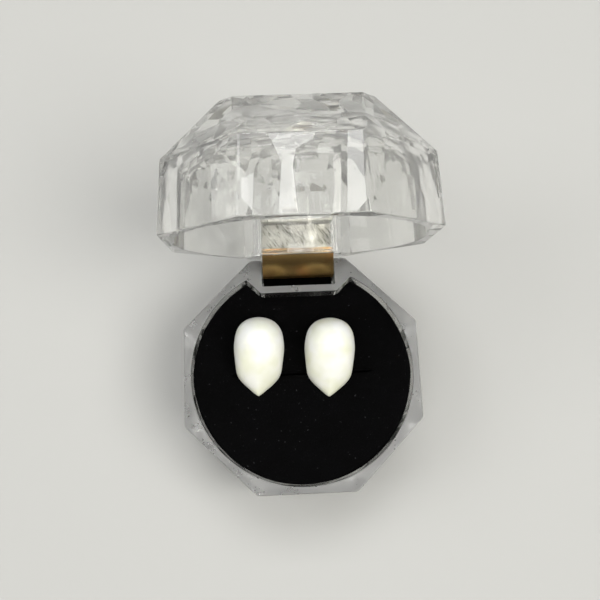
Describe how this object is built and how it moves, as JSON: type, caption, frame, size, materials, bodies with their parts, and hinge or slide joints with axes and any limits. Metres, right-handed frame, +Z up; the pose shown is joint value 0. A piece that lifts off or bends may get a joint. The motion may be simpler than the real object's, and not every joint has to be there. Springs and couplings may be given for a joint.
{
  "type": "pair of vampire fang caps in a hinged ring box",
  "caption": "Pair of hollow, pointed slip-on fang caps lying on the black pad of a clear octagonal ring box, its faceted lid open on a metal hinge.",
  "frame": {"origin": "centre of the underside of the box base", "axes": "+Z up; +X to the right seen from the front; +Y towards the hinge at the back"},
  "size_m": [0.0384, 0.0543, 0.0569],
  "materials": {
    "clear_acrylic": "clear, moulded and polished",
    "black_velvet": "matte short-pile velvet over foam",
    "ivory_resin": "satin",
    "brushed_steel": "scratched, semi-bright",
    "polished_brass": "polished, browned"
  },
  "bodies": {
    "base": {"box_base": "clear_acrylic", "pad": "black_velvet", "fang_left": "ivory_resin", "fang_right": "ivory_resin", "hinge_base_leaf": "brushed_steel", "hinge_pin": "brushed_steel"},
    "cover": {"hinge_cover": "polished_brass"},
    "lid": {"box_lid": "clear_acrylic", "hinge_lid_leaf": "brushed_steel"}
  },
  "joints": [
    {"name": "lid_hinge", "type": "hinge", "parent": "base", "child": "lid", "pos_m": [0, 0.019, 0.01815], "axis": [1, 0, 0], "range_deg": [0, 81.7]},
    {"name": "cover_swing", "type": "hinge", "parent": "base", "child": "cover", "pos_m": [0, 0.019, 0.01815], "axis": [1, 0, 0], "range_deg": [0, 49.1]}
  ],
  "couplings": [
    {"joint": "cover_swing", "follows": "lid_hinge", "ratio": 0.6}
  ]
}
